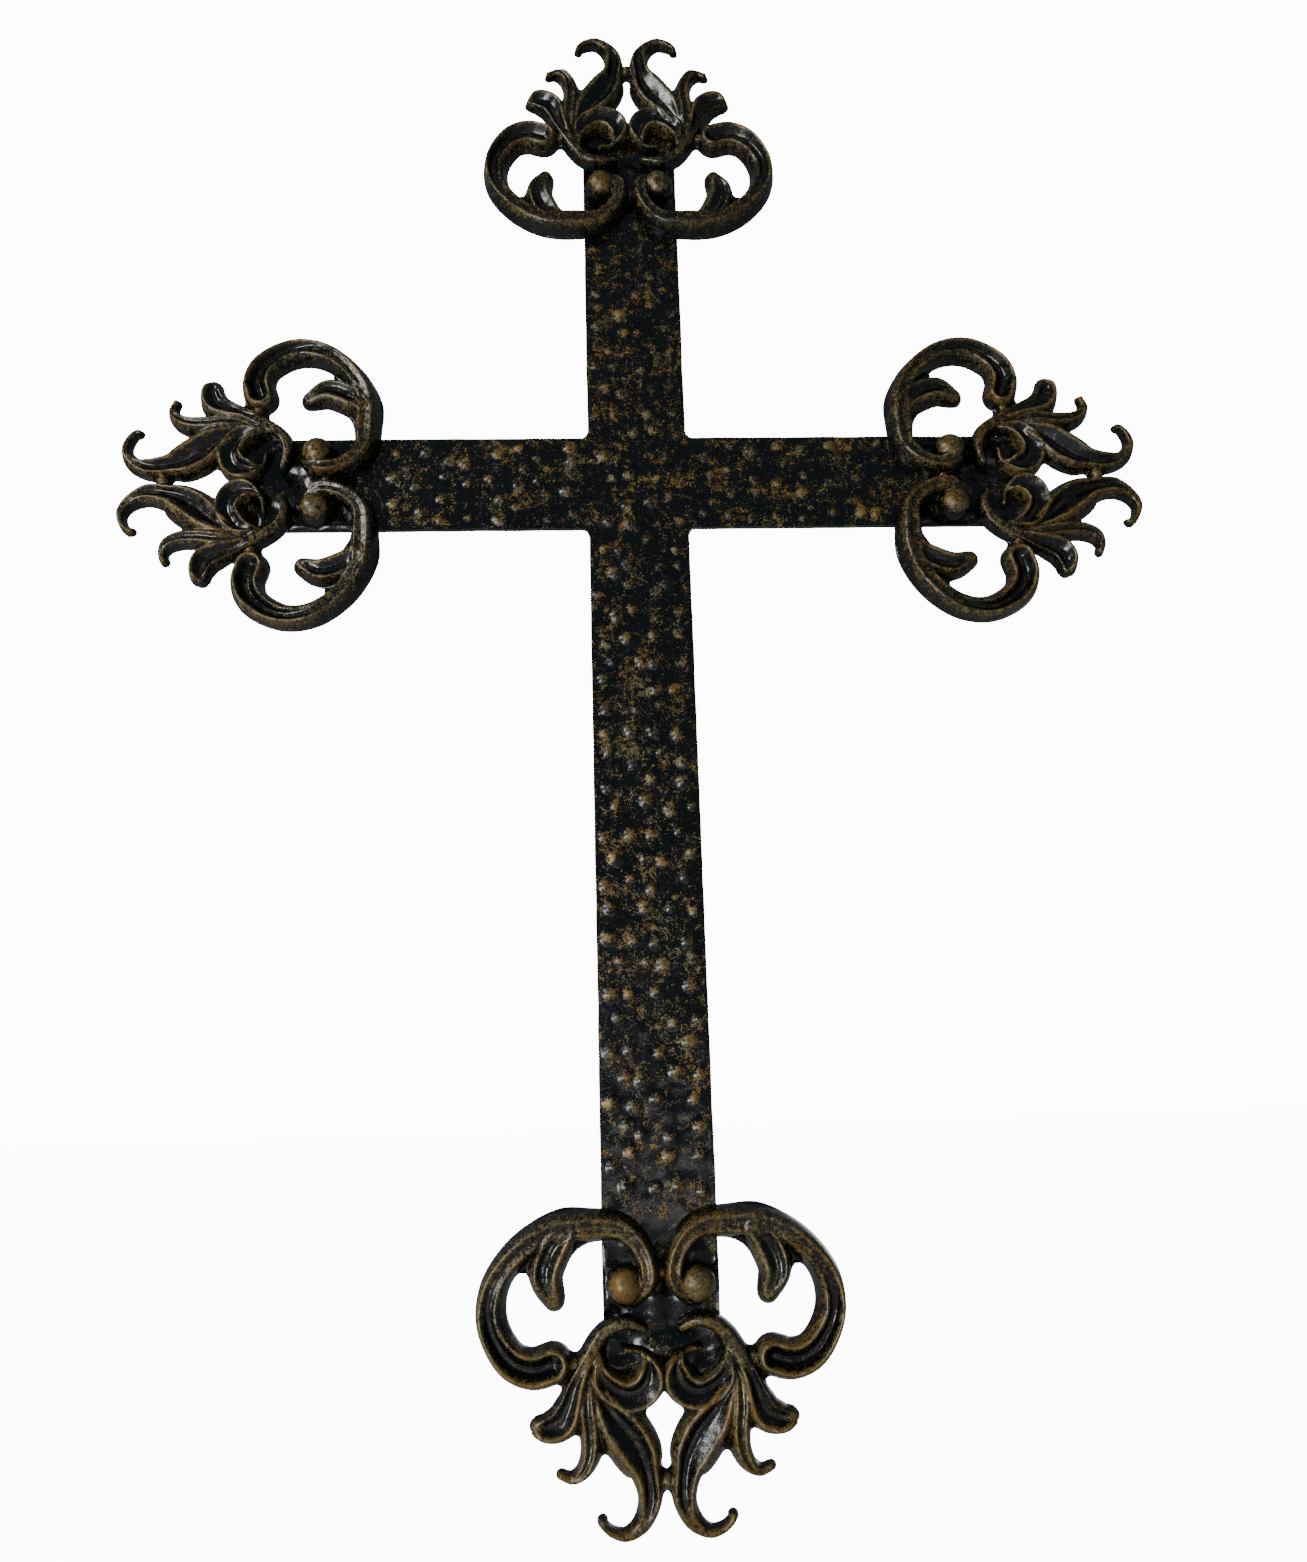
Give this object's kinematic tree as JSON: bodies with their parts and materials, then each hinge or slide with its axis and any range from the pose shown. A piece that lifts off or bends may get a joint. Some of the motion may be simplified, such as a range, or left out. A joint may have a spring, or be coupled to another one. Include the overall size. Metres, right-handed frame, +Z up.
{
  "type": "wall cross",
  "caption": "Wrought iron wall cross: flat bars punched with raised bumps, each end capped by a cast scroll-and-leaf finial, finished in black and aged gold.",
  "frame": {"origin": "centre of the crossing, on the flat back of the upright that lies against the wall", "axes": "+Z up along the upright, +X along the right arm as seen from the front, +Y into the wall; the front faces -Y"},
  "size_m": [0.5098, 0.0143, 0.7399],
  "materials": {
    "bar_paint": "gloss black with a green tint, sponged with aged gold",
    "casting_paint": "gloss black rubbed with aged gold on the raised edges"
  },
  "bodies": {
    "root": {"upright_bar": "bar_paint", "right_arm": "bar_paint", "left_arm": "bar_paint", "upper_finial": "casting_paint", "right_finial": "casting_paint", "lower_finial": "casting_paint", "left_finial": "casting_paint"}
  },
  "joints": []
}
